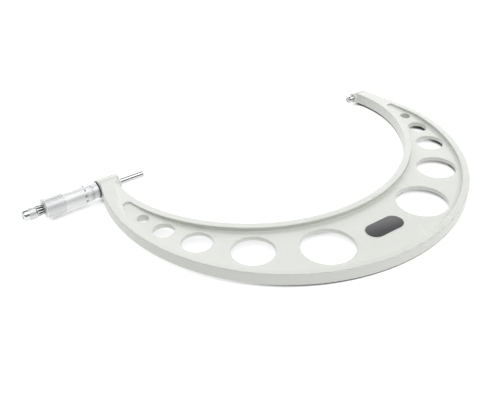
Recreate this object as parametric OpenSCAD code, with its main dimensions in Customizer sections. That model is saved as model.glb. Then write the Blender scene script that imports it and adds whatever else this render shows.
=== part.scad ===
// Outside micrometer with a deep pierced bow, reading from 275 to 300 mm.
// It lies flat: the measuring axis is the X axis and the bow hangs towards -Y.
// The origin is the centre of the anvil's measuring face, and +X points from the spindle to the anvil.
// Parts of the measuring head are placed by their station: the distance behind the spindle's
// measuring face, along -X, with the spindle screwed fully in.

/* [Measuring range] */
// Smallest reading, which is the gap between the faces as drawn
gap_min = 275; // [270:0.5:276]
// Travel of the spindle
travel = 25; // [10:1:25]
// Lead of the measuring screw
lead = 0.5; // [0.5:0.25:1]

/* [Bow] */
// Thickness of the bow across its rims
rim_t = 11.5; // [11:0.1:13.5]
// Thickness of the web between the rims
web_t = 3.7; // [3:0.1:6]
// Width of the rim along the throat
inner_rim_w = 6.9; // [6:0.1:8]
// Width of the rim round the outside
outer_rim_w = 6.7; // [5:0.1:7.5]
// Radius of the bottom of the throat
throat_r = 163.7; // [162:0.1:165]
// Radius of the throat beside each arm
arm_throat_r = 110.5; // [109:0.1:111]
// Radius of the outside of the bow
back_r = 184.2; // [183.6:0.1:186]
// Radius of the circle that the lightening holes stand on
hole_circle_r = 169.6; // [169:0.1:170.5]
// Diameter of the boss that holds the measuring head
head_boss_d = 18; // [17:0.1:18.4]
// Diameter of the boss that holds the anvil
anvil_boss_d = 10.8; // [10.4:0.1:12.6]

/* [Anvil and spindle] */
// Diameter of the spindle and of both carbide faces
spindle_d = 6.5; // [6:0.05:6.6]
// Diameter of the anvil's body
anvil_d = 8; // [7:0.1:8.4]
// Length of the anvil that stands out of its boss
anvil_out = 7.2; // [5:0.1:9]
// Length of the spindle that stands out of its boss at the smallest reading
spindle_out = 26.3; // [25.5:0.1:28]
// Thickness of each carbide face
tip_t = 1; // [0.6:0.1:1.5]

/* [Sleeve and thimble] */
// Diameter of the graduated sleeve
sleeve_d = 15.5; // [15:0.1:15.6]
// Diameter of the smooth part of the thimble
thimble_d = 18.1; // [17.6:0.1:18.6]
// Diameter of the knurled part of the thimble
knurl_d = 19.4; // [19:0.1:20]
// Length of the bevel that carries the thimble's divisions
bevel_len = 4.8; // [4:0.1:6]

/* [Ratchet stop] */
// Diameter of the ratchet knob
knob_d = 11.9; // [11.6:0.1:12.4]
// Number of ratchet teeth, a multiple of four
ratchet_teeth = 12; // [8:4:12]
// Number of flutes round the ratchet neck
neck_flutes = 12; // [8:1:14]

/* [Spindle lock] */
// Length of the lock lever from its pivot
lever_len = 16; // [12:1:20]
// Thickness of the lock lever
lever_t = 3.3; // [3:0.1:3.6]

/* [Hidden] */
$fn = 96;
slip = 0.04;              // radial clearance of a running fit
seat = 0.02;              // clearance between pieces that are fixed together
big = 400;                // longer than anything it cuts

// Bow, measured from the middle of the throat
anvil_nose = 4.5;         // how far the anvil boss stands into the throat
head_nose = 2.2;          // how far the head boss stands into the throat
half_throat = (anvil_nose + anvil_out + gap_min + spindle_out + head_nose) / 2;
bow_x = anvil_out + anvil_nose - half_throat;
throat_c = [0, -5.6];
arm_throat_y = -23.8;
arm_throat_c = [half_throat - sqrt(pow(arm_throat_r, 2) - pow(arm_throat_y, 2)), arm_throat_y];
throat_core = [120, 80];  // plain middle of the throat, half its width and its depth
tangent_a = 20;           // where the throat changes from one radius to the other
back_c = [-1.5, -64.8];
anvil_boss_len = 18;
arm_end_x = anvil_out + anvil_boss_len + 0.2 - bow_x;
head_end_x = head_nose - half_throat;
root_foot_y = -62;        // where the root has come down to the rims
root_fade = 14;           // length over which the root sinks below the rims
root_margin = 1.5;        // metal left between the root and the pocket
hole_circle_y = -41.2;
hole_angles = [10.8, 19.7, 31.55, 48.5, 70.3];
hole_radii = [5.3, 9.7, 13.9, 19.25, 24.3];
pocket_top_y = -46.8;
pocket_end_r = 2.5;
pocket_end_x = half_throat + 10.8;
web_z = web_t / 2;
web_rise = 2.4;           // how much thicker each side of the web grows up the arms
web_ramp_y = [-105, -45]; // between these heights
rim_z = rim_t / 2;
boss_r = head_boss_d / 2;

// Stations of the measuring head
boss_front = spindle_out;
boss_back = boss_front + 21.8;
bush_front = boss_front + 3;
sleeve_front = boss_back + 0.9;
thimble_front = boss_back + 6.4;
sleeve_back = thimble_front + travel + 2.5;
bush_back = sleeve_back + 6;
nut_front = bush_back - 18;
knurl_front = thimble_front + 29;
thimble_back = thimble_front + 48.3;
cavity_back = thimble_back - 5;
stem_front = thimble_back + 0.6;
neck_back = thimble_back + 7.5;
knob_front = neck_back + 0.3;
knob_back = knob_front + 12.2;
knob_wall = 3;

// Radii of the measuring head
spindle_r = spindle_d / 2;
anvil_r = anvil_d / 2;
bush_fit_r = 5;
bush_r = 6;
bush_tail_r = 5.2;
flange_r = 8.4;
thread_r = spindle_r - 0.4 * lead;
taper_drop = 0.6;
sleeve_r = sleeve_d / 2;
thimble_r = thimble_d / 2;
thimble_bore_r = sleeve_r + 0.12;
knurl_r = knurl_d / 2;
nut_r = 7;
connector_r = 5;
connector_flange_r = 6.4;
washer_r = 5.6;
stem_screw_r = 1.5;
post_r = 2;
knob_r = knob_d / 2;
knob_bore_r = 4.9;
neck_small_r = 4.4;
neck_big_r = 5.55;

// Hole for the spanner that sets the zero, in the sleeve
spanner_station = boss_back + 3.1;
spanner_a = 12;
spanner_hole_r = 0.8;

// Ratchet stop
tooth_w = 0.95;
tooth_h = 0.6;
tooth_in_r = 3.9;
tooth_out_r = 4.7;
clutch_r = knob_bore_r - 0.06;
clutch_t = 2.2;
clutch_front = neck_back + tooth_h + 0.06;
clutch_back = clutch_front + clutch_t;
key_r = 0.5;
key_low = 3.6;
key_station = clutch_back - 0.6;
wire_r = 0.25;
spring_r = 2.75;
spring_turns = 6;
post_back = knob_back - 1.5;
post_hole_r = 1.22;
screw_head_r = 3.2;

// Spindle lock, on the underside of the head boss
lock_station = boss_front + 10.5;
lock_hole_r = 2;
pad_top = -spindle_r - 0.06;
pad_t = 1.4;
pad_bottom = pad_top - pad_t;
lever_top = -boss_r - 0.25;
lever_bottom = lever_top - lever_t;
lever_hub_r = 4.6;
lever_tip_r = 2.4;
lock_head_r = 3;
lock_head_t = 1.1;

// Badge, on the web between the two largest holes
badge_c = [1, -208.8];
badge_len = 40;
badge_w = 18.2;
badge_t = 0.5;

function station(s) = -gap_min - s;

// A round bar or a hole along the axis, between two stations
module turned(s0, s1, r) {
    translate([station(s0), 0, 0]) rotate([0, -90, 0])
        cylinder(h = s1 - s0, r = r);
}

// A turned shape from points of [station, radius]
module lathe(profile) {
    rotate([0, 90, 0]) rotate_extrude() polygon([for (p = profile) [p[1], station(p[0])]]);
}

module slab(t) {
    translate([0, 0, -t / 2]) linear_extrude(t) children();
}

// ---- Bow ----

module throat_2d(grow) {
    reach = [big * cos(tangent_a), throat_c[1] - big * sin(tangent_a)];
    intersection() {
        translate(throat_c) circle(throat_r + grow, $fn = 360);
        polygon([throat_c, reach, [reach[0], -big], [-reach[0], -big], [-reach[0], reach[1]]]);
    }
    for (side = [-1, 1])
        translate([side * arm_throat_c[0], arm_throat_c[1]]) circle(arm_throat_r + grow, $fn = 240);
    translate([-arm_throat_c[0], arm_throat_c[1]]) square([2 * arm_throat_c[0], big]);
    translate([-throat_core[0], -throat_core[1]]) square([2 * throat_core[0], throat_core[1]]);
}

// One circle, and nearly straight beside the anvil boss
module back_2d(shrink) {
    end = arm_end_x - shrink;
    intersection() {
        translate(back_c) circle(back_r - shrink, $fn = 360);
        polygon([[-big, 0], [-big, -big], [big, -big], [end + 11.7, -88], [end + 8.7, -53], [end, 0]]);
    }
}

module bow_2d() {
    difference() {
        back_2d(0);
        throat_2d(0);
    }
}

// The thick root that carries the head boss down into the bow
module root_2d() {
    x = head_end_x;
    intersection() {
        back_2d(0);
        polygon([[x, 0], [x, -7], [x - 5.6, -12], [x - 12.1, -27], [x - 19.1, -46], [x - 23.6, root_foot_y],
            [x - 34.6, root_foot_y - root_fade], [x - 34.6, 0]]);
    }
}

// The root's thickness falls from the boss to the rims
module root_wedge() {
    top = boss_r - 0.05;
    foot = rim_z + 0.05;
    sunk = rim_z - 0.3;
    end_y = root_foot_y - root_fade;
    translate([-big, 0, 0]) rotate([90, 0, 90]) linear_extrude(big)
        polygon([[0.1, top], [0.1, -top], [root_foot_y, -foot], [end_y, -sunk], [end_y, sunk],
            [root_foot_y, foot]]);
}

module pocket_2d() {
    difference() {
        intersection() {
            back_2d(outer_rim_w);
            translate([-big / 2, pocket_top_y - big]) square([big, big]);
        }
        throat_2d(inner_rim_w);
        translate([root_margin, 0]) root_2d();
    }
    translate([pocket_end_x, pocket_top_y]) circle(pocket_end_r, $fn = 32);
    translate([-pocket_end_x - 0.4, pocket_top_y]) circle(pocket_end_r, $fn = 32);
}

// The web thickens up both arms, so the pockets run out gently
module web_wedge() {
    low = web_z - 0.2;
    low_y = web_ramp_y[0] - 0.2 / web_rise * (web_ramp_y[1] - web_ramp_y[0]);
    top = web_z + web_rise;
    translate([-big, 0, 0]) rotate([90, 0, 90]) linear_extrude(2 * big)
        polygon([[low_y, -low], [web_ramp_y[1], -top], [-10, -top], [-10, top], [web_ramp_y[1], top],
            [low_y, low]]);
}

module lightening_holes() {
    for (side = [-1, 1], i = [0 : len(hole_radii) - 1])
        translate([side * hole_circle_r * cos(hole_angles[i]),
            hole_circle_y - hole_circle_r * sin(hole_angles[i]), -rim_t])
            cylinder(h = 2 * rim_t, r = hole_radii[i], $fn = 128);
}

module lock_bore() {
    translate([station(lock_station), 0, -head_boss_d]) cylinder(h = head_boss_d, r = lock_hole_r);
}

module frame() {
    color([0.89, 0.90, 0.87]) difference() {
        union() {
            translate([bow_x, 0, 0]) difference() {
                union() {
                    difference() {
                        slab(rim_t) bow_2d();
                        for (face = [0, 1]) mirror([0, 0, face]) translate([0, 0, web_z])
                            linear_extrude(rim_t) pocket_2d();
                    }
                    intersection() {
                        slab(rim_t - 0.4) bow_2d();
                        web_wedge();
                    }
                }
                lightening_holes();
            }
            translate([bow_x, 0, 0]) intersection() {
                slab(head_boss_d) root_2d();
                root_wedge();
            }
            turned(boss_front, boss_back, boss_r);
            translate([anvil_out, 0, 0]) rotate([0, 90, 0])
                cylinder(h = anvil_boss_len, r = anvil_boss_d / 2);
        }
        turned(bush_front, boss_back + 1, bush_fit_r);
        turned(boss_front - 1, bush_front + 1, spindle_r + 0.15);
        translate([anvil_out - 1, 0, 0]) rotate([0, 90, 0]) cylinder(h = 15, r = anvil_r);
        lock_bore();
    }
}

module name_badge() {
    half = (badge_len - badge_w) / 2;
    color([0.2, 0.2, 0.21]) translate([bow_x + badge_c[0], badge_c[1], web_z + seat])
        linear_extrude(badge_t) union() {
            square([2 * half, badge_w], center = true);
            for (side = [-1, 1]) translate([side * half, 0]) circle(badge_w / 2);
        }
}

// ---- Anvil and spindle ----

// Pressed into its boss, with a cone that runs down to the carbide face
module anvil() {
    seat_start = anvil_out - 1;
    seat_end = anvil_out + 13;
    cone_end = tip_t + anvil_r - spindle_r;
    color([0.80, 0.81, 0.82]) rotate([0, 90, 0]) rotate_extrude()
        polygon([[0, tip_t], [spindle_r, tip_t], [anvil_r, cone_end], [anvil_r, seat_start],
            [anvil_r - seat, seat_start], [anvil_r - seat, seat_end], [0, seat_end]]);
}

module anvil_tip() {
    color([0.55, 0.56, 0.58]) rotate([0, 90, 0]) cylinder(h = tip_t - seat / 2, r = spindle_r);
}

module spindle_tip() {
    color([0.55, 0.56, 0.58]) turned(0, tip_t - seat / 2, spindle_r);
}

// Plain bar, threaded length, taper for the connector, and a tapped hole in its end
module spindle() {
    thread_front = nut_front - travel - 0.5;
    taper_front = cavity_back - 1.9;
    taper_back = thimble_back - 0.4;
    hole_r = stem_screw_r + seat;
    color([0.80, 0.81, 0.82]) lathe([
        [tip_t, 0], [tip_t, spindle_r], [thread_front, spindle_r], [thread_front, thread_r],
        [taper_front, thread_r], [taper_back, thread_r - taper_drop], [taper_back, hole_r],
        [taper_back - 9, hole_r], [taper_back - 9, 0]]);
}

// ---- Fixed sleeve group ----

// Guide and nut of the measuring screw, pressed into the boss
module threaded_bush() {
    tail_front = sleeve_back + 0.4;
    slit_len = 13;
    slit_w = 0.6;
    color([0.66, 0.67, 0.68]) difference() {
        lathe([
            [bush_front + seat, spindle_r + slip], [bush_front + seat, bush_fit_r - seat],
            [boss_back + seat, bush_fit_r - seat], [boss_back + seat, flange_r],
            [sleeve_front - 0.1, flange_r], [sleeve_front - 0.1, bush_r], [tail_front, bush_r],
            [tail_front, bush_tail_r], [bush_back, bush_tail_r], [bush_back, thread_r + slip],
            [nut_front, thread_r + slip], [nut_front, spindle_r + slip]]);
        lock_bore();
        // The slits that let the adjusting nut close the thread
        for (turn = [0, 90, 180]) rotate([turn, 0, 0])
            translate([station(bush_back + 1), -slit_w / 2, -bush_r - 1])
                cube([slit_len, slit_w, 2 * bush_r + 2]);
    }
}

module adjusting_nut() {
    front = sleeve_back + 0.6;
    notch_w = 1.5;
    color([0.35, 0.36, 0.38]) difference() {
        turned(front, bush_back - 0.4, nut_r);
        turned(front - 1, bush_back + 1, bush_tail_r + seat);
        for (turn = [0 : 90 : 270]) rotate([turn, 0, 0])
            translate([station(bush_back), -notch_w / 2, nut_r - 1])
                cube([bush_back - front + 1, notch_w, 2]);
    }
}

module graduated_sleeve() {
    color([0.78, 0.79, 0.80]) difference() {
        lathe([
            [sleeve_front, bush_r + slip], [sleeve_front, sleeve_r - 0.3], [sleeve_front + 0.3, sleeve_r],
            [sleeve_back, sleeve_r], [sleeve_back, bush_r + slip]]);
        rotate([-spanner_a, 0, 0]) translate([station(spanner_station), 0, 0])
            cylinder(h = sleeve_r + 1, r = spanner_hole_r);
    }
}

// ---- Thimble group ----

module thimble() {
    lip = 0.25;
    chamfer = 0.7;
    color([0.80, 0.81, 0.82]) lathe([
        [thimble_front, thimble_bore_r], [thimble_front, thimble_bore_r + lip],
        [thimble_front + bevel_len, thimble_r], [knurl_front, thimble_r],
        [knurl_front + 0.5, knurl_r], [thimble_back - chamfer, knurl_r], [thimble_back, knurl_r - chamfer],
        [thimble_back, connector_r + seat], [cavity_back, connector_r + seat],
        [cavity_back, thimble_bore_r]]);
}

module taper_connector() {
    front = cavity_back - 1.8;
    back = thimble_back - 0.5;
    color([0.66, 0.67, 0.68]) lathe([
        [front, thread_r + seat], [front, connector_flange_r], [cavity_back - seat, connector_flange_r],
        [cavity_back - seat, connector_r], [back, connector_r], [back, thread_r - taper_drop + 0.05]]);
}

module connector_washer() {
    color([0.55, 0.56, 0.57]) difference() {
        turned(thimble_back + seat, stem_front - seat, washer_r);
        turned(thimble_back - 1, stem_front + 1, stem_screw_r + 0.1);
    }
}

// ---- Ratchet stop ----

// Saw teeth on a face, pointing along the stations when towards is -1
module face_teeth(s, towards, phase) {
    for (i = [0 : ratchet_teeth - 1]) rotate([(i + phase) * 360 / ratchet_teeth, 0, 0])
        translate([station(s), -tooth_w / 2, tooth_in_r])
            linear_extrude(tooth_out_r - tooth_in_r)
                polygon([[-towards * 0.1, 0], [-towards * 0.1, tooth_w], [0, tooth_w],
                    [towards * tooth_h, 0.1], [towards * tooth_h, 0]]);
}

// Screw, fluted neck, fixed teeth and the post that the knob turns on
module ratchet_stem() {
    flute_r = 0.75;
    flute_tilt = 97;
    color([0.74, 0.75, 0.76]) union() {
        difference() {
            lathe([
                [thimble_back - 8, 0], [thimble_back - 8, stem_screw_r], [stem_front, stem_screw_r],
                [stem_front, neck_small_r], [neck_back - 0.8, neck_big_r], [neck_back, neck_big_r],
                [neck_back, post_r], [post_back, post_r], [post_back, post_hole_r],
                [post_back - 5.5, post_hole_r], [post_back - 5.5, 0]]);
            for (i = [0 : neck_flutes - 1]) rotate([i * 360 / neck_flutes, 0, 0])
                translate([station(stem_front - 1), 0, neck_small_r + 0.95]) rotate([0, -flute_tilt, 0])
                    cylinder(h = neck_back - stem_front + 0.2, r = flute_r, $fn = 24);
        }
        face_teeth(neck_back, -1, 0);
    }
}

module ratchet_clutch() {
    slot_w = 1.1;
    color([0.50, 0.51, 0.52]) union() {
        difference() {
            turned(clutch_front, clutch_back, clutch_r);
            turned(clutch_front - 1, clutch_back + 1, post_r + slip);
            translate([station(clutch_back + 0.01), -slot_w / 2, 3.3]) cube([1.9, slot_w, 3]);
        }
        face_teeth(clutch_front, 1, 0.5);
    }
}

// Compression spring, one smooth wire
module ratchet_spring() {
    front = clutch_back + wire_r + 0.03;
    back = knob_back - knob_wall - wire_r - 0.03;
    steps = 14 * spring_turns;
    sides = 8;
    pts = [for (i = [0 : steps], k = [0 : sides - 1]) let (
        a = 360 * spring_turns * i / steps,
        ring = spring_r + wire_r * cos(360 * k / sides),
        s = front + (back - front) * i / steps + wire_r * sin(360 * k / sides))
        [station(s), ring * cos(a), ring * sin(a)]];
    walls = [for (i = [0 : steps - 1], k = [0 : sides - 1]) let (n = (k + 1) % sides)
        [i * sides + k, i * sides + n, (i + 1) * sides + n, (i + 1) * sides + k]];
    start = [for (k = [sides - 1 : -1 : 0]) k];
    stop = [for (k = [0 : sides - 1]) steps * sides + k];
    color([0.6, 0.61, 0.62]) polyhedron(pts, concat([start], walls, [stop]));
}

module ratchet_knob() {
    recess = knob_back - 1.4;
    color([0.80, 0.81, 0.82]) difference() {
        lathe([
            [knob_front, knob_bore_r], [knob_front, knob_r - 0.4], [knob_front + 0.4, knob_r],
            [knob_back - 0.8, knob_r], [knob_back, knob_r - 0.8], [knob_back, screw_head_r + 0.2],
            [recess, screw_head_r + 0.2], [recess, post_r + slip],
            [knob_back - knob_wall, post_r + slip], [knob_back - knob_wall, knob_bore_r]]);
        translate([station(key_station), 0, 0]) cylinder(h = knob_r + 1, r = key_r + seat);
    }
}

module ratchet_key_pin() {
    color([0.55, 0.56, 0.57]) translate([station(key_station), 0, key_low])
        cylinder(h = knob_r - 0.15 - key_low, r = key_r);
}

module ratchet_screw() {
    head_front = knob_back - 1.32;
    slot_w = 0.7;
    color([0.70, 0.71, 0.72]) difference() {
        union() {
            turned(head_front, knob_back - 0.25, screw_head_r);
            turned(knob_back - 6.8, head_front + 0.01, post_hole_r - seat);
        }
        translate([station(knob_back + 1), -slot_w / 2, -4]) cube([1.75, slot_w, 8]);
    }
}

// ---- Spindle lock ----

module lock_lever() {
    arm_y = lever_tip_r - lever_len;
    arm_t = lever_t - 0.5;
    root_w = lever_hub_r * 0.75;
    color([0.74, 0.75, 0.76]) translate([station(lock_station), 0, lever_bottom]) difference() {
        union() {
            cylinder(h = lever_t, r = lever_hub_r);
            linear_extrude(arm_t)
                polygon([[-root_w, 0], [root_w, 0], [lever_tip_r, arm_y], [-lever_tip_r, arm_y]]);
            translate([0, arm_y, 0]) cylinder(h = arm_t, r = lever_tip_r);
        }
        translate([0, 0, -1]) cylinder(h = lever_t + 2, r = lock_hole_r);
        translate([0, 0, -1]) cylinder(h = lock_head_t + 1.1, r = lock_head_r + seat);
    }
}

module lock_screw() {
    shank_low = lever_bottom + 0.5;
    slot_w = 0.8;
    color([0.45, 0.46, 0.48]) translate([station(lock_station), 0, 0]) difference() {
        union() {
            translate([0, 0, lever_bottom + 0.08]) cylinder(h = lock_head_t, r = lock_head_r);
            translate([0, 0, shank_low])
                cylinder(h = pad_bottom - 0.06 - shank_low, r = lock_hole_r - slip);
        }
        translate([-4, -slot_w / 2, lever_bottom - 0.5]) cube([8, slot_w, 1.1]);
    }
}

module lock_pad() {
    color([0.80, 0.64, 0.32]) translate([station(lock_station), 0, pad_bottom])
        cylinder(h = pad_t, r = lock_hole_r - seat);
}

frame();
name_badge();
anvil();
anvil_tip();
spindle();
spindle_tip();
threaded_bush();
adjusting_nut();
graduated_sleeve();
thimble();
taper_connector();
connector_washer();
ratchet_stem();
ratchet_clutch();
ratchet_spring();
ratchet_knob();
ratchet_key_pin();
ratchet_screw();
lock_lever();
lock_screw();
lock_pad();
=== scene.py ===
"""Outside micrometer, 275 to 300 mm: the visual model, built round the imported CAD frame.

The row frame has its origin at the centre of the anvil's measuring face. +X runs from the spindle
to the anvil, the bow hangs towards -Y and the graduated side is up, +Z. Sizes here are in
millimetres and turn into metres where a mesh is made. Parts of the measuring head are placed by
their station: the distance behind the spindle's measuring face, along -X.
"""

import math

import bmesh
import bpy
import numpy as np
from mathutils import Matrix, Vector


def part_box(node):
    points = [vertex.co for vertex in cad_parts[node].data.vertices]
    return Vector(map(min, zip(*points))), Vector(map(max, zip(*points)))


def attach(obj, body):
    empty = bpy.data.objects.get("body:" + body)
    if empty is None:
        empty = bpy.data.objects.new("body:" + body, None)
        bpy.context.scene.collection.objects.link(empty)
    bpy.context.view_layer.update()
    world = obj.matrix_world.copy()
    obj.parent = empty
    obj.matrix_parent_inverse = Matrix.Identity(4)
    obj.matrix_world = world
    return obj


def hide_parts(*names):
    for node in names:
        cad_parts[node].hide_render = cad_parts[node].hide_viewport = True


MM = 0.001

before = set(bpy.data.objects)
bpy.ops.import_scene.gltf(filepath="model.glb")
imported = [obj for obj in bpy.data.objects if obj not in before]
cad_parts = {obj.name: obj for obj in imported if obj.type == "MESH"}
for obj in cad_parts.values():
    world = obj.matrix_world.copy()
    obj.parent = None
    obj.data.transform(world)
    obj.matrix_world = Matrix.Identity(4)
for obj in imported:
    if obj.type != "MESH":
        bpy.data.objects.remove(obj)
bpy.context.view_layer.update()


def box_mm(node):
    """Lowest and highest corner of a CAD node, in millimetres."""
    low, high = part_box(node)
    return np.array(low) / MM, np.array(high) / MM


# ---- Sizes taken from the frame ----

FACE_X = box_mm("spindle_tip")[1][0]
BADGE_LOW, BADGE_HIGH = box_mm("name_badge")
BOW_X = (BADGE_LOW[0] + BADGE_HIGH[0]) / 2 - 1.0
BOSS_R = box_mm("frame")[1][2]
SPINDLE_R = box_mm("spindle_tip")[1][2]
ANVIL_R = box_mm("anvil")[1][2]
ANVIL_END = box_mm("anvil")[1][0]
TIP_T = box_mm("anvil")[0][0]
SLEEVE_R = box_mm("graduated_sleeve")[1][2]
KNURL_R = box_mm("thimble")[1][2]
KNOB_R = box_mm("ratchet_knob")[1][2]


def station_of(x):
    return FACE_X - x


def at_station(s):
    return FACE_X - s


SLEEVE_FRONT = station_of(box_mm("graduated_sleeve")[1][0])
THIMBLE_FRONT = station_of(box_mm("thimble")[1][0])
THIMBLE_BACK = station_of(box_mm("thimble")[0][0])
BOSS_BACK = SLEEVE_FRONT - 0.9
BOSS_FRONT = BOSS_BACK - 21.8
SPINDLE_BACK = station_of(box_mm("spindle")[0][0])
KNOB_FRONT = station_of(box_mm("ratchet_knob")[1][0])
KNOB_BACK = station_of(box_mm("ratchet_knob")[0][0])
NECK_BACK = KNOB_FRONT - 0.3
STEM_FRONT = THIMBLE_BACK + 0.6
LOCK_X = sum(b[0] for b in box_mm("lock_screw")) / 2
FLUTE_DEPTH = 0.85


# ---- Materials ----


def surface(name, light, dark, metallic, rough, spread=0.05, grain=2.0, bump=0.01, rings=0.0,
            coat=0.0, speck=0.0, groove_shade=0.0, matting=0.0):
    """A procedural finish. Colour and roughness drift over patches of the grain's size in
    millimetres, bump is the relief in millimetres, and rings adds turning marks of that pitch
    along the axis. groove_shade darkens the bottoms of knurls and flutes with painted shade, by the
    depth stored in the mesh, and matting makes them rougher."""
    mat = bpy.data.materials.new(name)
    mat.use_nodes = True
    tree = mat.node_tree
    nodes, links = tree.nodes, tree.links
    shader = nodes["Principled BSDF"]
    shader.inputs["Metallic"].default_value = metallic
    shader.inputs["Coat Weight"].default_value = coat
    shader.inputs["Coat Roughness"].default_value = 0.12
    place = nodes.new("ShaderNodeTexCoord")

    patches = nodes.new("ShaderNodeTexNoise")
    patches.inputs["Scale"].default_value = 1 / (grain * 4 * MM)
    patches.inputs["Detail"].default_value = 5
    links.new(place.outputs["Object"], patches.inputs["Vector"])
    tint = nodes.new("ShaderNodeMix")
    tint.data_type = "RGBA"
    tint.inputs["A"].default_value = (*dark, 1)
    tint.inputs["B"].default_value = (*light, 1)
    links.new(patches.outputs["Fac"], tint.inputs["Factor"])
    colour = tint.outputs["Result"]

    if speck:
        dots = nodes.new("ShaderNodeTexVoronoi")
        dots.inputs["Scale"].default_value = 1 / (9 * MM)
        links.new(place.outputs["Object"], dots.inputs["Vector"])
        edge = nodes.new("ShaderNodeMapRange")
        edge.inputs["From Min"].default_value = 0.012
        edge.inputs["From Max"].default_value = 0.03
        edge.inputs["To Min"].default_value = speck
        edge.inputs["To Max"].default_value = 0
        links.new(dots.outputs["Distance"], edge.inputs["Value"])
        spots = nodes.new("ShaderNodeMix")
        spots.data_type = "RGBA"
        spots.inputs["B"].default_value = (*[c * 0.5 for c in dark], 1)
        links.new(edge.outputs["Result"], spots.inputs["Factor"])
        links.new(colour, spots.inputs["A"])
        colour = spots.outputs["Result"]
    # Painted shade: the bottoms of knurls and flutes are darkened by their depth
    if groove_shade:
        depth = nodes.new("ShaderNodeAttribute")
        depth.attribute_name = "depth"
        shaded_colour = nodes.new("ShaderNodeMix")
        shaded_colour.data_type = "RGBA"
        shaded_colour.inputs["B"].default_value = (*[c * (1 - groove_shade) for c in dark], 1)
        links.new(depth.outputs["Fac"], shaded_colour.inputs["Factor"])
        links.new(colour, shaded_colour.inputs["A"])
        colour = shaded_colour.outputs["Result"]
    links.new(colour, shader.inputs["Base Color"])

    fine = nodes.new("ShaderNodeTexNoise")
    fine.inputs["Scale"].default_value = 1 / (grain * MM)
    fine.inputs["Detail"].default_value = 3
    links.new(place.outputs["Object"], fine.inputs["Vector"])
    gloss = nodes.new("ShaderNodeMapRange")
    gloss.inputs["From Min"].default_value = 0.3
    gloss.inputs["From Max"].default_value = 0.7
    gloss.inputs["To Min"].default_value = rough - spread
    gloss.inputs["To Max"].default_value = rough + spread
    links.new(fine.outputs["Fac"], gloss.inputs["Value"])
    roughness = gloss.outputs["Result"]
    if groove_shade:
        matt = nodes.new("ShaderNodeMath")
        matt.operation, matt.use_clamp = "MULTIPLY_ADD", True
        matt.inputs[1].default_value = matting
        links.new(depth.outputs["Fac"], matt.inputs[0])
        links.new(roughness, matt.inputs[2])
        roughness = matt.outputs["Value"]
    links.new(roughness, shader.inputs["Roughness"])

    relief = nodes.new("ShaderNodeBump")
    relief.inputs["Distance"].default_value = bump * MM
    relief.inputs["Strength"].default_value = 1.0
    height = fine.outputs["Fac"]
    if rings:
        turning = nodes.new("ShaderNodeTexWave")
        turning.bands_direction = "X"
        turning.inputs["Scale"].default_value = 1 / (rings * 20 * MM) * math.tau
        turning.inputs["Distortion"].default_value = 1.5
        turning.inputs["Detail"].default_value = 2
        turning.inputs["Detail Scale"].default_value = 0.4
        links.new(place.outputs["Object"], turning.inputs["Vector"])
        both = nodes.new("ShaderNodeMath")
        both.operation = "ADD"
        links.new(height, both.inputs[0])
        links.new(turning.outputs["Fac"], both.inputs[1])
        height = both.outputs["Value"]
    links.new(height, relief.inputs["Height"])
    links.new(relief.outputs["Normal"], shader.inputs["Normal"])
    return mat


ENAMEL = surface("frame_enamel", (0.676, 0.690, 0.652), (0.641, 0.655, 0.617), 0.0, 0.34, spread=0.05,
                 grain=1.3, bump=0.012, coat=0.25, speck=0.25)
SATIN = surface("satin_chrome", (0.83, 0.835, 0.84), (0.78, 0.785, 0.79), 1.0, 0.58, spread=0.04,
                grain=0.5, bump=0.002, rings=0.25, groove_shade=0.6)
BRIGHT = surface("knob_chrome", (0.80, 0.805, 0.81), (0.74, 0.745, 0.75), 1.0, 0.20, spread=0.05,
                 grain=0.6, bump=0.002, rings=0.3, groove_shade=0.95, matting=1.5)
GROUND = surface("ground_steel", (0.66, 0.66, 0.67), (0.60, 0.60, 0.61), 1.0, 0.11, spread=0.03,
                 grain=0.4, bump=0.001, rings=0.12)
CARBIDE = surface("carbide", (0.50, 0.51, 0.53), (0.42, 0.43, 0.45), 1.0, 0.22, spread=0.05,
                  grain=0.2, bump=0.001)
LEVER = surface("lever_chrome", (0.76, 0.77, 0.78), (0.68, 0.69, 0.70), 1.0, 0.22, spread=0.05,
                grain=0.8, bump=0.003)
PLAIN = surface("plain_steel", (0.60, 0.61, 0.62), (0.46, 0.47, 0.48), 1.0, 0.33, spread=0.07,
                grain=0.6, bump=0.003, rings=0.2)
BLACKENED = surface("blackened_steel", (0.12, 0.12, 0.125), (0.07, 0.07, 0.073), 0.6, 0.42,
                    spread=0.08, grain=0.7, bump=0.004)
WIRE = surface("spring_steel", (0.62, 0.63, 0.64), (0.48, 0.49, 0.50), 1.0, 0.28, spread=0.06,
               grain=0.3, bump=0.002)
BRASS = surface("pad_brass", (0.80, 0.62, 0.28), (0.66, 0.48, 0.20), 1.0, 0.30, spread=0.06,
                grain=0.5, bump=0.003)
BADGE = surface("badge_plate", (0.070, 0.070, 0.074), (0.050, 0.050, 0.054), 0.35, 0.36,
                spread=0.06, grain=0.8, bump=0.003)
INK = surface("engraving_ink", (0.035, 0.035, 0.038), (0.015, 0.015, 0.017), 0.0, 0.55,
              spread=0.08, grain=0.3, bump=0.004)

def set_ramp(ramp, stops):
    """Gives a colour ramp these grey levels. Its first and last stops are at 0 and 1."""
    elements = ramp.color_ramp.elements
    for element, (_, level) in zip(elements, (stops[0], stops[-1])):
        element.color = (level, level, level, 1)
    for place, level in stops[1:-1]:
        elements.new(place).color = (level, level, level, 1)


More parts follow.
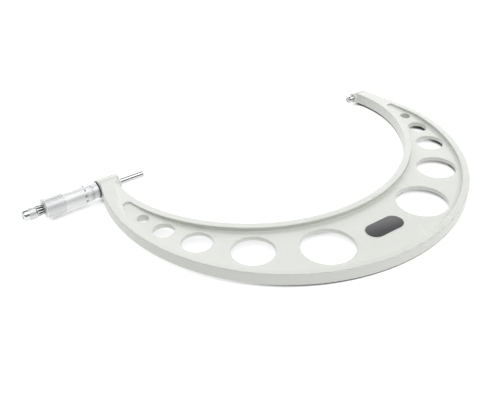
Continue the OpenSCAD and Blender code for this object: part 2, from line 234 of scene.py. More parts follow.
def table_surface():
    """A white table that glows instead of being lit, with painted shadow: dark where the object all but
    touches it, and faintly shaded below the rest of it."""
    mat = bpy.data.materials.new("table")
    mat.use_nodes = True
    nodes, links = mat.node_tree.nodes, mat.node_tree.links
    nodes.remove(nodes["Principled BSDF"])
    glow = nodes.new("ShaderNodeEmission")
    both = nodes.new("ShaderNodeMix")
    both.data_type, both.blend_type = "RGBA", "MULTIPLY"
    both.inputs["Factor"].default_value = 1
    # Painted shadow: ramps on ambient occlusion dim the table's glow near the object and under it
    contact_shadow = [(0.0, 0.0), (0.22, 0.03), (0.31, 0.28), (0.39, 0.83), (0.5, 0.97), (0.62, 1.0),
               (1.0, 1.0)]
    overhang_shadow = [(0.0, 0.70), (0.35, 0.88), (0.75, 1.0), (1.0, 1.0)]
    for socket, reach, stops in (("A", 0.0085, contact_shadow), ("B", 0.06, overhang_shadow)):
        cover = nodes.new("ShaderNodeAmbientOcclusion")
        cover.samples = 24
        cover.inputs["Distance"].default_value = reach
        ramp = nodes.new("ShaderNodeValToRGB")
        set_ramp(ramp, stops)
        links.new(cover.outputs["AO"], ramp.inputs["Fac"])
        links.new(ramp.outputs["Color"], both.inputs[socket])
    links.new(both.outputs["Result"], glow.inputs["Color"])
    glow.inputs["Strength"].default_value = 1.15
    links.new(glow.outputs["Emission"], nodes["Material Output"].inputs["Surface"])
    return mat


# ---- Pieces ----


def place_piece(mesh, name, body, material, replaces=()):
    """Puts a finished mesh, in metres, into the scene as a piece of the object."""
    piece = bpy.data.objects.new(name, mesh)
    bpy.context.scene.collection.objects.link(piece)
    mesh.materials.append(material)
    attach(piece, body)
    if replaces:
        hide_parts(*replaces)
    return piece


def shade(mesh, angle=35):
    mesh.polygons.foreach_set("use_smooth", [True] * len(mesh.polygons))
    mesh.set_sharp_from_angle(angle=math.radians(angle))
    mesh.update()


def mesh_from(name, verts_mm, faces, angle=35):
    mesh = bpy.data.meshes.new(name)
    mesh.from_pydata((np.asarray(verts_mm, float) * MM).tolist(), [], faces)
    mesh.validate()
    shade(mesh, angle)
    return mesh


def turned_mesh(name, profile, segments=128, radius_at=None, angle=35):
    """A closed body of revolution about X. profile is a list of (x, radius) that starts and ends on
    the axis, or runs round a ring and closes on itself. radius_at(x, turn, radius) can cut knurls
    and flutes into it, and how deep they are is stored for the material."""
    ring = profile[0][1] > 0
    turns = np.arange(segments) * math.tau / segments
    verts, rows, depths = [], [], []
    for x, r in profile:
        if r == 0:
            rows.append([len(verts)] * segments)
            verts.append((x, 0.0, 0.0))
            depths.append(0.0)
            continue
        radii = np.full(segments, float(r)) if radius_at is None else radius_at(x, turns, r)
        depths += ((r - radii) / FLUTE_DEPTH).tolist()
        rows.append(list(range(len(verts), len(verts) + segments)))
        verts += [(x, q * math.sin(a), q * math.cos(a)) for q, a in zip(radii, turns)]
    if ring:
        rows.append(rows[0])
    faces = []
    for low, high in zip(rows, rows[1:]):
        for i in range(segments):
            j = (i + 1) % segments
            corners = dict.fromkeys((low[i], high[i], high[j], low[j]))
            if len(corners) > 2:
                faces.append(list(corners))
    mesh = mesh_from(name, verts, faces, angle)
    mesh.attributes.new("depth", "FLOAT", "POINT").data.foreach_set("value", depths)
    tidy = bmesh.new()
    tidy.from_mesh(mesh)
    bmesh.ops.recalc_face_normals(tidy, faces=tidy.faces)
    tidy.to_mesh(mesh)
    tidy.free()
    shade(mesh, angle)
    return mesh


# ---- The bow, as a solid described by distances ----

HALF_THROAT = 157.6
THROAT_C = (0.0, -5.6)
THROAT_R = 163.7
ARM_C = (HALF_THROAT - math.sqrt(110.5**2 - 23.8**2), -23.8)
ARM_R = 110.5
TANGENT = math.tan(math.radians(20))
BACK_C = (-1.5, -64.8)
BACK_R = 184.2
ARM_END_X = 25.4 - BOW_X
INNER_RIM = 6.9
OUTER_RIM = 6.7
RIM_Z = 5.75
WEB_Z = BADGE_LOW[2] - 0.02
WEB_RAMP = (-105.0, -45.0)
WEB_RISE = 2.4
POCKET_TOP = -44.3
POCKET_CORNER = 2.5
FOOT_FILLET = 0.8
EDGE_ROUND = 0.45
HOLE_CIRCLE_R = 169.6
HOLE_CIRCLE_Y = -41.2
HOLES = [(10.8, 5.3), (19.7, 9.7), (31.55, 13.9), (48.5, 19.25), (70.3, 24.3)]
HOLE_ROUND = 0.35
ROOT_FOOT = -62.0
ROOT_EDGE = [(0, 0), (-7, 0), (-12, -5.6), (-27, -12.1), (-46, -19.1), (ROOT_FOOT, -23.6)]
HEAD_END_X = at_station(BOSS_FRONT) - BOW_X
HEAD_BACK_X = at_station(BOSS_BACK) - BOW_X
ANVIL_BOSS_R = 5.4
ANVIL_BOSS = (7.2 - BOW_X, 25.2 - BOW_X)


def both_round(a, b, r):
    """Inside a and b, with the edge between them rounded."""
    return np.minimum(-r, np.maximum(a, b)) + np.hypot(np.maximum(a + r, 0), np.maximum(b + r, 0))


def either_round(a, b, r):
    """Inside a or b, with a fillet between them."""
    return np.maximum(r, np.minimum(a, b)) - np.hypot(np.maximum(r - a, 0), np.maximum(r - b, 0))


def either_soft(a, b, k):
    """Inside a or b, blended so lightly that faces which lie together hardly swell."""
    return np.minimum(a, b) - np.maximum(k - np.abs(a - b), 0) ** 2 / (4 * k)


def throat_depth(x, y):
    """Distance into the metal from the throat's wall: the bottom arc, or the arc beside an arm."""
    side = np.abs(x)
    bottom = np.hypot(x - THROAT_C[0], y - THROAT_C[1]) - THROAT_R
    arm = np.hypot(side - ARM_C[0], y - ARM_C[1]) - ARM_R
    return np.where(y - THROAT_C[1] < -side * TANGENT, bottom, arm)


def back_gap(x, y):
    """Distance outside the back of the bow: a circle, cut nearly straight beside the anvil arm."""
    circle = np.hypot(x - BACK_C[0], y - BACK_C[1]) - BACK_R
    ends = [(ARM_END_X + 11.7, -88.0), (ARM_END_X + 8.7, -53.0), (ARM_END_X, 0.0)]
    for (x0, y0), (x1, y1) in zip(ends, ends[1:]):
        length = math.hypot(x1 - x0, y1 - y0)
        line = ((x - x0) * (y1 - y0) - (y - y0) * (x1 - x0)) / length
        circle = -either_soft(-circle, -line, 2.0)
    return circle


def root_depth(x, y):
    """Distance into the thick root from its slanting edge."""
    ys = [p[0] for p in reversed(ROOT_EDGE)]
    xs = [HEAD_END_X + p[1] for p in reversed(ROOT_EDGE)]
    return (np.interp(y, ys, xs) - x) * 0.93


def casting(x, y, z):
    """Negative inside the casting. x is measured from the middle of the throat."""
    high = np.abs(z)
    throat, back, root = throat_depth(x, y), back_gap(x, y), root_depth(x, y)
    swell = np.clip((root + 1) / 4, 0, 1)
    rise = np.clip(1 - y / ROOT_FOOT, 0, 1) * (BOSS_R - 0.05 - RIM_Z)
    thickness = RIM_Z + rise * swell * swell * (3 - 2 * swell)
    pocket = both_round(back + OUTER_RIM, INNER_RIM - throat, POCKET_CORNER)
    pocket = both_round(pocket, y - POCKET_TOP, POCKET_CORNER)
    pocket = both_round(pocket, root + 1.5, POCKET_CORNER)
    outline = both_round(np.maximum(back, -throat), y, 0.5)
    rims = both_round(np.maximum(outline, -pocket), high - thickness, EDGE_ROUND)
    web_half = WEB_Z + WEB_RISE * np.clip((y - WEB_RAMP[0]) / (WEB_RAMP[1] - WEB_RAMP[0]), 0, 1)
    web = np.maximum(pocket - FOOT_FILLET - 0.2, high - web_half)
    body = either_round(rims, web, FOOT_FILLET)
    radius = np.hypot(y, z)
    middle = (HEAD_END_X + HEAD_BACK_X) / 2
    half = (HEAD_END_X - HEAD_BACK_X) / 2
    body = either_soft(body, both_round(radius - BOSS_R, np.abs(x - middle) - half, 1.1), 1.2)
    middle, half = sum(ANVIL_BOSS) / 2, (ANVIL_BOSS[1] - ANVIL_BOSS[0]) / 2
    body = either_soft(body, both_round(radius - ANVIL_BOSS_R, np.abs(x - middle) - half, 0.7), 1.6)
    for turn, r in HOLES:
        a = math.radians(turn)
        across = np.hypot(np.abs(x) - HOLE_CIRCLE_R * math.cos(a),
                          y - HOLE_CIRCLE_Y + HOLE_CIRCLE_R * math.sin(a))
        body = both_round(body, r - across, HOLE_ROUND)
    return body


def slope(points, step=0.05):
    """The outward direction of the casting's surface at points."""
    out = np.empty_like(points)
    for axis in range(3):
        shift = np.zeros(3)
        shift[axis] = step
        out[:, axis] = casting(*(points + shift).T) - casting(*(points - shift).T)
    return out / (2 * step)


def settle(points, rounds=2):
    """Moves points onto the casting's surface."""
    for _ in range(rounds):
        g = slope(points)
        steep = np.maximum((g * g).sum(1), 0.2)
        move = g * (casting(*points.T) / steep)[:, None]
        length = np.linalg.norm(move, axis=1, keepdims=True)
        points = points - move * np.minimum(1, 0.4 / np.maximum(length, 1e-9))
    return points


def surface_net(low, high, pitch):
    """Quads that wrap the casting: one point in each grid cell that its surface passes through."""
    axes = [np.arange(a, b + pitch, pitch) for a, b in zip(low, high)]
    field = casting(axes[0][:, None, None], axes[1][None, :, None], axes[2][None, None, :])
    inside = field < 0
    n = field.shape
    cells = tuple(k - 1 for k in n)
    total, count = np.zeros(cells + (3,), np.float32), np.zeros(cells, np.float32)
    crossings = []
    for a in range(3):
        first = tuple(slice(0, -1) if k == a else slice(None) for k in range(3))
        second = tuple(slice(1, None) if k == a else slice(None) for k in range(3))
        cross = inside[first] != inside[second]
        share = np.where(cross, field[first] / (field[first] - field[second] + 1e-12), 0)
        crossings.append(cross)
        others = [k for k in range(3) if k != a]
        for corner in ((0, 0), (0, 1), (1, 0), (1, 1)):
            part = [slice(None)] * 3
            for k, d in zip(others, corner):
                part[k] = slice(d, n[k] - 1 + d)
            hit = cross[tuple(part)]
            count += hit
            total[..., a] += share[tuple(part)]
            for k, d in zip(others, corner):
                total[..., k] += d * hit
    used = count > 0
    number = np.full(cells, -1)
    number[used] = np.arange(used.sum())
    points = np.argwhere(used) + total[used] / count[used][:, None]
    quads = []
    for a, cross in enumerate(crossings):
        b, c = (a + 1) % 3, (a + 2) % 3
        edges = np.argwhere(cross)
        corners = []
        for db, dc in ((-1, -1), (0, -1), (0, 0), (-1, 0)):
            cell = edges.copy()
            cell[:, b] += db
            cell[:, c] += dc
            corners.append(number[tuple(cell.T)])
        quad = np.stack(corners, 1)
        leaving = inside[tuple(edges.T)]
        quad[~leaving] = quad[~leaving][:, ::-1]
        quads.append(quad)
    return settle(np.array(low) + points * pitch), np.concatenate(quads)


def points_of(mesh):
    co = np.empty(len(mesh.vertices) * 3)
    mesh.vertices.foreach_get("co", co)
    return co.reshape(-1, 3)


def applied(piece, name):
    """A new mesh with the piece's modifiers applied. The piece goes."""
    graph = bpy.context.evaluated_depsgraph_get()
    mesh = bpy.data.meshes.new_from_object(piece.evaluated_get(graph))
    mesh.name = name
    bpy.data.objects.remove(piece)
    return mesh


def loose(mesh, name):
    piece = bpy.data.objects.new(name, mesh)
    bpy.context.scene.collection.objects.link(piece)
    return piece


def build_casting():
    pitch = 0.8
    low = (BACK_C[0] - BACK_R - 2, BACK_C[1] - BACK_R - 2, -BOSS_R - 1.5)
    high = (BACK_C[0] + BACK_R + 2, BOSS_R + 2, BOSS_R + 1.5)
    points, quads = surface_net(low, high, pitch)
    mesh = bpy.data.meshes.new("casting_raw")
    mesh.from_pydata(points.tolist(), [], quads.tolist())
    raw = loose(mesh, "casting_raw")
    thin = raw.modifiers.new("thin", "DECIMATE")
    thin.ratio = 0.22
    mesh = applied(raw, "casting_thin")
    points = settle(points_of(mesh), 1)
    mesh.vertices.foreach_set("co", points.ravel())
    mesh.update()

    solid = loose(mesh, "casting_solid")
    bores = [
        ("x", HEAD_BACK_X - 3, HEAD_END_X - 3, 5.0, 0, 0),
        ("x", HEAD_END_X - 4, HEAD_END_X + 3, SPINDLE_R + 0.15, 0, 0),
        ("x", ANVIL_BOSS[0] - 3, ANVIL_END - BOW_X, ANVIL_R, 0, 0),
        ("z", -BOSS_R - 2, 0, 2.0, LOCK_X - BOW_X, 0),
    ]
    cutters = []
    for i, (axis, a, b, r, x, y) in enumerate(bores):
        tool = bmesh.new()
        bmesh.ops.create_cone(tool, cap_ends=True, segments=96, radius1=r, radius2=r, depth=b - a)
        turn = Matrix.Rotation(math.pi / 2, 4, "Y") if axis == "x" else Matrix.Identity(4)
        where = ((a + b) / 2, 0, 0) if axis == "x" else (x, y, (a + b) / 2)
        bmesh.ops.transform(tool, matrix=Matrix.Translation(where) @ turn, verts=tool.verts)
        cut_mesh = bpy.data.meshes.new(f"cutter_{i}")
        tool.to_mesh(cut_mesh)
        tool.free()
        cutter = loose(cut_mesh, f"cutter_{i}")
        cutters.append(cutter)
        bore = solid.modifiers.new(f"bore_{i}", "BOOLEAN")
        bore.operation, bore.object, bore.solver = "DIFFERENCE", cutter, "EXACT"
    mesh = applied(solid, "bow_casting")
    for cutter in cutters:
        bpy.data.objects.remove(cutter)

    # Smooth normals come from the solid itself, and the bores keep the normals of their walls
    points = points_of(mesh)
    normals = slope(points)
    normals /= np.maximum(np.linalg.norm(normals, axis=1, keepdims=True), 1e-9)
    corner = np.empty(len(mesh.loops), int)
    mesh.loops.foreach_get("vertex_index", corner)
    flat = np.empty(len(mesh.polygons) * 3)
    mesh.polygons.foreach_get("normal", flat)
    flat = flat.reshape(-1, 3)
    sides = np.empty(len(mesh.polygons), int)
    mesh.polygons.foreach_get("loop_total", sides)
    face_normals = np.repeat(flat, sides, axis=0)
    loop_normals = normals[corner]
    centres = np.empty(len(mesh.polygons) * 3)
    mesh.polygons.foreach_get("center", centres)
    in_bore = np.repeat(casting(*centres.reshape(-1, 3).T) < -0.12, sides)
    turned_away = (face_normals * loop_normals).sum(1) < 0.3
    loop_normals = np.where((in_bore | turned_away)[:, None], face_normals, loop_normals)
    mesh.vertices.foreach_set("co", ((points + [BOW_X, 0, 0]) * MM).ravel())
    mesh.polygons.foreach_set("use_smooth", [True] * len(mesh.polygons))
    mesh.normals_split_custom_set(loop_normals.tolist())
    mesh.update()
    return place_piece(mesh, "bow_casting", "frame", ENAMEL, ["frame"])


# ---- Turned parts ----


def knurl(pitch, depth, radius, x_start, x_end, fade=0.5):
    """Diamond knurling: two families of crossing grooves that run out at both ends."""
    count = round(math.tau * radius / pitch)

    def cut(x, turns, r):
        near = min(1, max(0, (x - x_start) / fade), max(0, (x_end - x) / fade))
        along = (x - x_start) / pitch
        round_ = turns * count / math.tau
        gaps = [np.abs(t - np.round(t)) for t in (round_ + along, round_ - along)]
        return r - depth * near * (1 - 2 * np.minimum(*gaps))

    return cut, count


def bands(x_start, x_end, step):
    return np.linspace(x_start, x_end, max(2, round(abs(x_end - x_start) / step)) + 1)


BEVEL = 4.8
THIMBLE_R = 9.05
BEVEL_R = SLEEVE_R + 0.37
BORE_R = SLEEVE_R + 0.12
KNURL_FRONT = THIMBLE_FRONT + 29


def build_thimble():
    back, front = at_station(THIMBLE_BACK), at_station(THIMBLE_FRONT)
    knurl_end = at_station(KNURL_FRONT)
    fine = 0.25
    cut, count = knurl(1.0, 0.22, KNURL_R, back + 0.9, knurl_end - 0.6)
    grip = [(x, KNURL_R) for x in bands(back + 0.8, knurl_end - 0.5, fine)]
    wall = back + 5
    profile = [
        (wall, 5.02), (back + 0.2, 5.02), (back, 5.2), (back, KNURL_R - 0.8), *grip,
        (knurl_end - 0.05, THIMBLE_R + 0.08), (knurl_end + 0.35, THIMBLE_R), (front - BEVEL, THIMBLE_R),
        (front - 0.05, BEVEL_R), (front, BEVEL_R - 0.06), (front, BORE_R), (wall, BORE_R)]
    mesh = turned_mesh("thimble_shell", profile, count * 4, cut_between(cut, back + 0.8, knurl_end - 0.5),
                       angle=38)
    place_piece(mesh, "thimble_shell", "screw", SATIN, ["thimble"])


def cut_between(cut, low, high):
    """Cuts only between two places, and only on the outside."""
    def radius_at(x, turns, r):
        if r > KNOB_R - 0.3 and low - 1e-6 <= x <= high + 1e-6:
            return cut(x, turns, r)
        return np.full(len(turns), float(r))
    return radius_at


def build_knob():
    back, front = at_station(KNOB_BACK), at_station(KNOB_FRONT)
    rim = back + 4.3
    fine = 0.2
    cut, count = knurl(0.8, 0.16, KNOB_R, rim + 0.5, front - 0.6, fade=0.4)
    grip = [(x, KNOB_R) for x in bands(rim + 0.5, front - 0.6, fine)]
    profile = [
        (back + 3, 2.04), (back + 1.4, 2.04), (back + 1.4, 3.4), (back + 0.15, 3.4), (back, 3.55),
        (back, KNOB_R - 0.85), (back + 0.25, KNOB_R - 0.42), (back + 0.85, KNOB_R - 0.04),
        (rim - 0.15, KNOB_R), (rim, KNOB_R - 0.35), (rim + 0.3, KNOB_R - 0.35), *grip,
        (front - 0.1, KNOB_R - 0.4), (front, KNOB_R - 0.55), (front, 4.9), (back + 3, 4.9)]
    mesh = turned_mesh("knurled_knob", profile, count * 4, cut_between(cut, rim + 0.5, front - 0.6),
                       angle=38)
    place_piece(mesh, "knurled_knob", "ratchet_knob", BRIGHT, ["ratchet_knob"])


FLUTES = 12
TOOTH = {"width": 0.95, "height": 0.6, "in_r": 3.9, "out_r": 4.7}


def build_stem():
    """Fluted neck, its fixed teeth and the post, with the screw that goes into the spindle."""
    front, back = at_station(STEM_FRONT), at_station(NECK_BACK)
    post_back = at_station(KNOB_BACK) + 1.5
    screw_front = at_station(THIMBLE_BACK - 8)

    def flute(x, turns, r):
        if not back - 1e-6 <= x <= front + 1e-6 or r < 4:
            return np.full(len(turns), float(r))
        run_out = min(1, max(0.12, (x - back - 0.2) / 1.6))
        wave = np.clip(0.5 + 0.75 * np.cos(turns * FLUTES), 0, 1)
        return r - FLUTE_DEPTH * run_out * wave

    neck = [(x, 4.45 + 1.05 * ((front - x) / (front - back)) ** 0.8) for x in bands(front, back + 0.6, 0.35)]
    profile = [
        (screw_front, 0), (screw_front, 1.3), (screw_front - 0.2, 1.5), (front, 1.5), (front, 4.2), *neck,
        (back + 0.15, 5.5), (back, 5.35), (back, 2.0), (post_back + 0.2, 2.0), (post_back, 1.8),
        (post_back, 1.22), (post_back + 5.5, 1.22), (post_back + 5.5, 0)]
    mesh = turned_mesh("fluted_stem", profile, FLUTES * 12, flute, angle=50)
    solid = bmesh.new()
    solid.from_mesh(mesh)
    for i in range(FLUTES):
        a = i * math.tau / FLUTES
        add_tooth(solid, back, -1, a)
    solid.to_mesh(mesh)
    solid.free()
    shade(mesh, 50)
    place_piece(mesh, "fluted_stem", "screw", BRIGHT, ["ratchet_stem"])


def add_tooth(solid, x, way, turn):
    """One saw tooth on a face at x, standing out along way."""
    w, h = TOOTH["width"], TOOTH["height"]
    outline = [(-0.1, -w / 2), (-0.1, w / 2), (0, w / 2), (h, 0.1 - w / 2), (h, -w / 2)]
    rows = []
    for r in (TOOTH["in_r"], TOOTH["out_r"]):
        row = []
        for d, t in outline:
            y, z = t, r
            row.append(solid.verts.new((
                (x + way * d) * MM,
                (y * math.cos(turn) + z * math.sin(turn)) * MM,
                (z * math.cos(turn) - y * math.sin(turn)) * MM)))
        rows.append(row)
    faces = [solid.faces.new(rows[0]), solid.faces.new(rows[1][::-1])]
    for i in range(len(outline)):
        j = (i + 1) % len(outline)
        faces.append(solid.faces.new((rows[0][i], rows[1][i], rows[1][j], rows[0][j])))
    bmesh.ops.recalc_face_normals(solid, faces=faces)


def build_spindle():
    tip = at_station(0)
    thread_front = at_station(44.5)
    thread_back = at_station(95.9)
    back = at_station(SPINDLE_BACK)
    thread_r = SPINDLE_R - 0.2
    crests = []
    x = thread_front - 0.6
    while x > thread_back + 0.6:
        crests += [(x, thread_r + 0.14), (x - 0.25, thread_r - 0.14)]
        x -= 0.5
    profile = [
        (tip - TIP_T, 0), (tip - TIP_T, SPINDLE_R), (thread_front + 0.3, SPINDLE_R),
        (thread_front, thread_r), *crests, (thread_back, thread_r), (back, thread_r - 0.6),
        (back, 1.52), (back + 9, 1.52), (back + 9, 0)]
    place_piece(turned_mesh("spindle_bar", profile, 96), "spindle_bar", "screw", GROUND,
                ["spindle"])
    for name, node, x0, x1, body in (
            ("spindle_carbide", "spindle_tip", tip, tip - TIP_T + 0.01, "spindle_face"),
            ("anvil_carbide", "anvil_tip", 0, TIP_T - 0.01, "frame")):
        inward = math.copysign(0.15, x1 - x0)
        profile = [(x0, 0), (x0, SPINDLE_R - 0.15), (x0 + inward, SPINDLE_R), (x1, SPINDLE_R), (x1, 0)]
        place_piece(turned_mesh(name, profile, 96), name, body, CARBIDE, [node])


def build_anvil():
    low, high = box_mm("anvil")
    cone_end = low[0] + ANVIL_R - SPINDLE_R
    profile = [
        (low[0], 0), (low[0], SPINDLE_R), (cone_end, ANVIL_R), (high[0] - 14, ANVIL_R),
        (high[0] - 14, ANVIL_R - 0.02), (high[0] - 0.4, ANVIL_R - 0.02), (high[0], ANVIL_R - 0.4),
        (high[0], 0)]
    place_piece(turned_mesh("anvil_pin", profile, 96), "anvil_pin", "frame", GROUND,
                ["anvil"])


# ---- Scales ----

LINE_T = 0.015


def add_bar(solid, x0, x1, a0, a1, radius_at):
    """A thin mark that lies on a turned surface. Its angles are measured from +Z towards +Y."""
    steps = max(1, round(abs(a1 - a0) * radius_at(x0) / 0.3))
    rows = []
    for lift in (-LINE_T, LINE_T):
        for x in (x0, x1):
            row = []
            for k in range(steps + 1):
                a = a0 + (a1 - a0) * k / steps
                r = radius_at(x) + lift
                row.append(solid.verts.new((x * MM, r * math.sin(a) * MM, r * math.cos(a) * MM)))
            rows.append(row)
    low0, low1, top0, top1 = rows
    faces = []
    for k in range(steps):
        for a, b in ((low1, low0), (top0, top1), (low0, top0), (top1, low1)):
            faces.append(solid.faces.new((a[k], b[k], b[k + 1], a[k + 1])))
    for k in (0, steps):
        faces.append(solid.faces.new((low0[k], low1[k], top1[k], top0[k])))
    bmesh.ops.recalc_face_normals(solid, faces=faces)


def text_mesh(words, size, thick):
    """Letters as a mesh in millimetres, centred on the origin, cut into narrow strips so that they
    can be bent round a cylinder."""
    curve = bpy.data.curves.new("words", "FONT")
    curve.body, curve.size, curve.extrude = words, size, thick
    curve.offset = 0.035 * size
    curve.align_x, curve.align_y = "CENTER", "CENTER"
    curve.resolution_u = 3
    piece = bpy.data.objects.new("words", curve)
    bpy.context.scene.collection.objects.link(piece)
    bpy.context.view_layer.update()
    mesh = applied(piece, "words")
    bpy.data.curves.remove(curve)
    return mesh


def add_text(solid, words, size, x, turn, radius):
    """Numbers on a turned surface, upright for a reader who has the thimble on the right."""
    letters = bmesh.new()
    source = text_mesh(words, size, LINE_T)
    letters.from_mesh(source)
    bpy.data.meshes.remove(source)
    for level in bands(-size / 2, size / 2, 0.3):
        bmesh.ops.bisect_plane(letters, geom=letters.verts[:] + letters.edges[:] + letters.faces[:],
                               plane_co=(0, level, 0), plane_no=(0, 1, 0))
    made = {}
    for v in letters.verts:
        a = turn - v.co.y / radius
        r = radius + v.co.z
        made[v] = solid.verts.new(((x - v.co.x) * MM, r * math.sin(a) * MM, r * math.cos(a) * MM))
    for f in letters.faces:
        solid.faces.new([made[v] for v in f.verts])
    letters.free()


def finish_marks(solid, name, body):
    mesh = bpy.data.meshes.new(name)
    solid.to_mesh(mesh)
    solid.free()
    shade(mesh, 40)
    place_piece(mesh, name, body, INK)


def build_sleeve_scale():
    solid = bmesh.new()
    width = 0.09
    start = THIMBLE_FRONT
    radius_at = lambda x: SLEEVE_R
    add_bar(solid, at_station(start + 25.3), at_station(SLEEVE_FRONT + 0.8), -width / SLEEVE_R,
            width / SLEEVE_R, radius_at)
    for half in range(51):
        x = at_station(start + half / 2)
        whole = half % 2 == 0
        length = (3.0 if half % 10 == 0 else 2.1) if whole else -2.1
        near = -math.copysign(width, length) / SLEEVE_R
        add_bar(solid, x - width, x + width, near, -length / SLEEVE_R, radius_at)
    for value in range(0, 26, 5):
        add_text(solid, str(value), 2.4, at_station(start + value), -4.6 / SLEEVE_R, SLEEVE_R)
    finish_marks(solid, "sleeve_scale", "sleeve")


def build_thimble_scale():
    solid = bmesh.new()
    front = at_station(THIMBLE_FRONT)

    def radius_at(x):
        return BEVEL_R + (THIMBLE_R - BEVEL_R) * min(1, (front - x) / BEVEL)

    for i in range(50):
        a = -i * math.tau / 50
        length = 4.2 if i % 5 == 0 else 2.8
        half = 0.09 / THIMBLE_R
        add_bar(solid, front - length, front - 0.15, a - half, a + half, radius_at)
    for i in range(10):
        add_text(solid, str(i * 5), 3.1, front - 8.3, -i * math.tau / 10, THIMBLE_R)
    finish_marks(solid, "thimble_scale", "screw")


# ---- Badge and spindle lock ----


def rounded_plate(name, outline, z0, z1, edge):
    """A flat plate from an outline of (x, y, outward x, outward y), with its upper and lower edges
    rounded."""
    loops = []
    steps = 4
    for z, way in ((z0, 1), (z1, -1)):
        turns = [k * math.pi / 2 / steps for k in range(steps + 1)]
        part = [(edge * (1 - math.sin(t)), z + way * edge * (1 - math.cos(t))) for t in turns]
        loops += part if way == 1 else part[::-1]
    count = len(outline)
    verts = [(x - nx * inset, y - ny * inset, z) for inset, z in loops for x, y, nx, ny in outline]
    faces = []
    for row in range(len(loops) - 1):
        for i in range(count):
            j = (i + 1) % count
            faces.append((row * count + i, row * count + j, (row + 1) * count + j, (row + 1) * count + i))
    faces.append(tuple(range(count))[::-1])
    faces.append(tuple(range((len(loops) - 1) * count, len(loops) * count)))
    return mesh_from(name, verts, faces, 30)


def arc_points(centre, r, start, end, steps):
    out = []
    for k in range(steps + 1):
        a = math.radians(start + (end - start) * k / steps)
        out.append((centre[0] + r * math.cos(a), centre[1] + r * math.sin(a), math.cos(a), math.sin(a)))
    return out


def build_badge():
    low, high = BADGE_LOW, BADGE_HIGH
    r = (high[1] - low[1]) / 2
    y = (low[1] + high[1]) / 2
    outline = arc_points((high[0] - r, y), r, -90, 90, 32) + arc_points((low[0] + r, y), r, 90, 270, 32)
    mesh = rounded_plate("badge", outline, low[2], high[2], 0.18)
    place_piece(mesh, "badge", "frame", BADGE, ["name_badge"])


def build_lever():
    low, high = box_mm("lock_lever")
    hub, tip = 4.6, 2.4
    tip_y = low[1] + tip
    # The two straight sides touch both circles
    lean = math.degrees(math.asin((hub - tip) / -tip_y))
    outline = arc_points((LOCK_X, 0), hub, -lean, 180 + lean, 48)
    outline += arc_points((LOCK_X, tip_y), tip, 180 + lean, 360 - lean, 24)
    mesh = rounded_plate("lever_blade", outline, low[2], high[2], 0.5)
    blade = loose(mesh, "lever_blade")
    tool = bmesh.new()
    for r, z0, z1 in ((2.0, low[2] - 1, high[2] + 1), (3.02, low[2] - 1, low[2] + 1.18)):
        bmesh.ops.create_cone(
            tool, cap_ends=True, segments=64, radius1=r * MM, radius2=r * MM, depth=(z1 - z0) * MM,
            matrix=Matrix.Translation((LOCK_X * MM, 0, (z0 + z1) / 2 * MM)))
    cut_mesh = bpy.data.meshes.new("lever_cutter")
    tool.to_mesh(cut_mesh)
    tool.free()
    cutter = loose(cut_mesh, "lever_cutter")
    bore = blade.modifiers.new("bore", "BOOLEAN")
    bore.operation, bore.object, bore.solver, bore.use_self = "DIFFERENCE", cutter, "EXACT", True
    mesh = applied(blade, "lever_blade")
    bpy.data.objects.remove(cutter)
    shade(mesh, 30)
    place_piece(mesh, "lever_blade", "lock_lever", LEVER, ["lock_lever"])


# ---- CAD nodes that stay, with their finish ----

# The threaded bush takes the blackened finish so that its ring between boss and sleeve shows as a dark line:
# painted shade for the gap there
KEPT = {
    "threaded_bush": BLACKENED, "adjusting_nut": BLACKENED, "graduated_sleeve": SATIN,
    "taper_connector": PLAIN, "connector_washer": PLAIN, "ratchet_clutch": PLAIN,
    "ratchet_spring": WIRE, "ratchet_key_pin": PLAIN, "ratchet_screw": BRIGHT,
    "lock_screw": BLACKENED, "lock_pad": BRASS}


def finish_kept():
    for node, material in KEPT.items():
        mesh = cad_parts[node].data
        mesh.materials.clear()
        mesh.materials.append(material)


# ---- Table, light and camera ----


def resting_plane(casting_piece):
    """Height and normal of the table that the object lies on: the facet of its hull, underneath,
    that holds the centre of mass."""
    hull = bmesh.new()
    low_points = [v.co for v in casting_piece.data.vertices if v.co.z < -(RIM_Z - 0.1) * MM]
    for node in ("lock_lever", "thimble", "ratchet_knob"):
        low_points += [v.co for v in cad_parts[node].data.vertices]
    for p in low_points:
        hull.verts.new(p)
    bmesh.ops.convex_hull(hull, input=hull.verts)
    centre = Vector((BOW_X * MM, -0.135, 0))
    best = None
    for f in hull.faces:
        if f.normal.z > -0.5:
            continue
        a, b, c = [v.co.to_2d() for v in f.verts[:3]]
        spans = [(q - p).cross(centre.to_2d() - p) for p, q in ((a, b), (b, c), (c, a))]
        if all(s >= 0 for s in spans) or all(s <= 0 for s in spans):
            best = (-f.normal.copy(), f.calc_center_median())
    hull.free()
    return best


def build_table(casting_piece):
    normal, point = resting_plane(casting_piece)
    size = 6.0
    mesh = bpy.data.meshes.new("table")
    cells = 24
    verts = [((i / cells - 0.5) * size, (j / cells - 0.5) * size, 0)
             for j in range(cells + 1) for i in range(cells + 1)]
    faces = [(j * (cells + 1) + i, j * (cells + 1) + i + 1, (j + 1) * (cells + 1) + i + 1,
              (j + 1) * (cells + 1) + i) for j in range(cells) for i in range(cells)]
    mesh.from_pydata(verts, [], faces)
    mesh.materials.append(table_surface())
    table = loose(mesh, "table")
    table.rotation_mode = "QUATERNION"
    table.rotation_quaternion = normal.to_track_quat("Z", "Y")
    table.location = point


# Brightness against the angle round the X axis: 0 is the front horizon, 90 overhead, 180 the back
SKY = [(0, 0.14), (38, 0.12), (49, 1.9), (78, 1.9), (84, 0.2), (126, 0.25), (136, 1.9),
       (164, 1.8), (173, 0.7), (180, 0.5)]


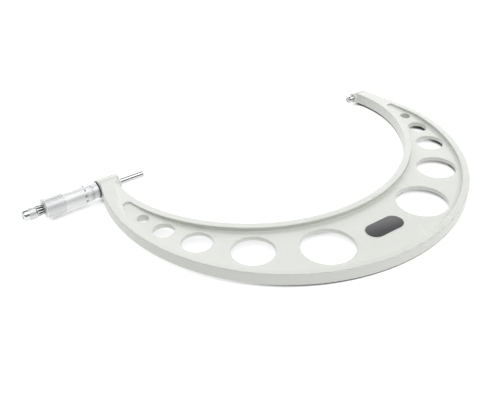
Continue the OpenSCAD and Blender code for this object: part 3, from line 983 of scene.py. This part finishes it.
def build_light():
    """A studio with two wide soft boxes along the X axis, dark gaps between and below them, and a
    darker wall at the end with the knob."""
    world = bpy.data.worlds.new("studio")
    bpy.context.scene.world = world
    world.use_nodes = True
    nodes, links = world.node_tree.nodes, world.node_tree.links
    place = nodes.new("ShaderNodeTexCoord")
    split = nodes.new("ShaderNodeSeparateXYZ")
    links.new(place.outputs["Generated"], split.inputs["Vector"])
    front = nodes.new("ShaderNodeMath")
    front.operation = "MULTIPLY"
    front.inputs[1].default_value = -1
    links.new(split.outputs["Y"], front.inputs[0])
    turn = nodes.new("ShaderNodeMath")
    turn.operation = "ARCTAN2"
    links.new(split.outputs["Z"], turn.inputs[0])
    links.new(front.outputs["Value"], turn.inputs[1])
    share = nodes.new("ShaderNodeMapRange")
    share.inputs["From Max"].default_value = math.pi
    links.new(turn.outputs["Value"], share.inputs["Value"])
    ramp = nodes.new("ShaderNodeValToRGB")
    links.new(share.outputs["Result"], ramp.inputs["Fac"])
    set_ramp(ramp, [(angle / 180, level) for angle, level in SKY])
    links.new(ramp.outputs["Color"], nodes["Background"].inputs["Color"])
    dim = nodes.new("ShaderNodeMapRange")
    dim.inputs["From Min"].default_value = -0.7
    dim.inputs["From Max"].default_value = -0.35
    dim.inputs["To Min"].default_value = 0.25
    dim.inputs["To Max"].default_value = 1.31
    links.new(split.outputs["X"], dim.inputs["Value"])
    links.new(dim.outputs["Result"], nodes["Background"].inputs["Strength"])
    bpy.context.scene.view_settings.view_transform = "Standard"


CAMERA_AT = Vector((-517.9, -538.3, 364.0)) * MM
AZIMUTH, ELEVATION, ROLL = (math.radians(a) for a in (-34.783, 34.444, -0.967))
LENS = 49.22


def build_camera():
    back = Vector((math.sin(AZIMUTH) * math.cos(ELEVATION), -math.cos(AZIMUTH) * math.cos(ELEVATION),
                   math.sin(ELEVATION)))
    right = (-back).cross(Vector((0, 0, 1))).normalized()
    up = right.cross(-back)
    across = right * math.cos(ROLL) + up * math.sin(ROLL)
    up = up * math.cos(ROLL) - right * math.sin(ROLL)
    camera = bpy.data.objects.new("camera", bpy.data.cameras.new("camera"))
    bpy.context.scene.collection.objects.link(camera)
    camera.data.lens, camera.data.sensor_width = LENS, 36
    camera.data.clip_start, camera.data.clip_end = 0.01, 20
    turn = Matrix((across, up, back)).transposed().to_4x4()
    camera.matrix_world = Matrix.Translation(CAMERA_AT) @ turn
    bpy.context.scene.camera = camera


bow = build_casting()
build_anvil()
build_spindle()
build_thimble()
build_knob()
build_stem()
build_sleeve_scale()
build_thimble_scale()
build_badge()
build_lever()
finish_kept()
build_table(bow)
build_light()
build_camera()
